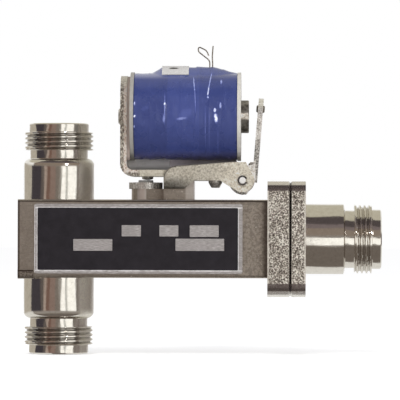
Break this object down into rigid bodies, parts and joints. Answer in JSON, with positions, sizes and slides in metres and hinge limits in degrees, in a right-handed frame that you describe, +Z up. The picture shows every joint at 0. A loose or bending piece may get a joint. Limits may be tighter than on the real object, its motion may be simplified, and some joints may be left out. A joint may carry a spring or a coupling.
{
  "type": "coaxial changeover relay",
  "caption": "Coaxial changeover switch: an open coil pulls a hinged armature whose arm pushes a rod and swings a blade between a threaded upper and lower port.",
  "frame": {"origin": "on the axis of the common port, at the middle of its full thread", "axes": "+X out of the common port, -Y towards the name plate, +Z up towards the coil; the two side ports share a vertical axis at x = -70.45 mm"},
  "size_m": [0.0837, 0.0264, 0.0713],
  "materials": {
    "port_nickel": "bright nickel plate on brass",
    "body_nickel": "satin nickel plate on brass",
    "cast_nickel": "matt nickel plate on a casting",
    "plate_metal": "satin, with a black painted field",
    "bracket_steel": "dull nickel plate",
    "yoke_iron": "plated soft iron, sheared edges",
    "armature_iron": "plated soft iron",
    "screw_steel": "plated",
    "dark_steel": "dark spring steel",
    "spring_steel": "bright spring wire",
    "contact_silver": "silver plate",
    "blade_brass": "satin",
    "residual_brass": "satin",
    "white_plastic": "matt",
    "bobbin_plastic": "matt",
    "coil_copper": "enamelled wire",
    "coil_tape": "satin tape",
    "tag_paper": "matt",
    "grey_rubber": "matt"
  },
  "bodies": {
    "root": {"port_shell_top": "port_nickel", "port_shell_bottom": "port_nickel", "port_shell_common": "port_nickel", "insulator_top": "white_plastic", "insulator_bottom": "white_plastic", "insulator_common": "white_plastic", "centre_contact_top": "contact_silver", "centre_contact_bottom": "contact_silver", "centre_contact_common": "contact_silver", "fixed_contact_top": "contact_silver", "fixed_contact_bottom": "contact_silver", "body_tube": "body_nickel", "end_plug": "body_nickel", "pedestal": "body_nickel", "guide_bush": "body_nickel", "end_flange": "cast_nickel", "name_plate": "plate_metal", "flange_screws": "screw_steel", "ring_nut": "port_nickel", "hinge_bracket": "bracket_steel", "pivot_pin": "screw_steel", "retaining_clips": "dark_steel", "bracket_screws": "screw_steel", "yoke_screws": "screw_steel", "yoke": "yoke_iron", "core": "yoke_iron", "bobbin": "bobbin_plastic", "winding": "coil_copper", "tape_wrap": "coil_tape", "tag": "tag_paper", "coil_lead_looped": "coil_copper", "coil_lead_straight": "coil_copper", "coil_pad": "grey_rubber"},
    "armature": {"armature": "armature_iron", "actuator_arm": "armature_iron", "arm_rivets": "screw_steel", "residual_pin": "residual_brass", "adjusting_screw": "screw_steel", "lock_nut": "screw_steel"},
    "push_rod": {"push_rod": "white_plastic", "return_spring": "spring_steel"},
    "blade": {"contact_blade": "blade_brass", "blade_contacts": "contact_silver"}
  },
  "joints": [
    {"name": "armature_tilt", "type": "hinge", "parent": "root", "child": "armature", "pos_m": [-0.02779, 0, 0.01345], "axis": [0, -1, 0], "range_deg": [0, 5.7], "stiffness_Nm_per_rad": 0.05, "springref_deg": -2.86},
    {"name": "push_rod_slide", "type": "slide", "parent": "root", "child": "push_rod", "axis": [0, 0, -1], "range_m": [0, 0.0022], "deforming": ["return_spring"]},
    {"name": "blade_swing", "type": "hinge", "parent": "root", "child": "blade", "pos_m": [-0.0224, 0, 0], "axis": [0, -1, 0], "range_deg": [0, 4.51]}
  ],
  "couplings": [
    {"joint": "push_rod_slide", "follows": "armature_tilt", "m_per_rad": 0.022024},
    {"joint": "blade_swing", "follows": "armature_tilt", "ratio": 0.79037}
  ]
}
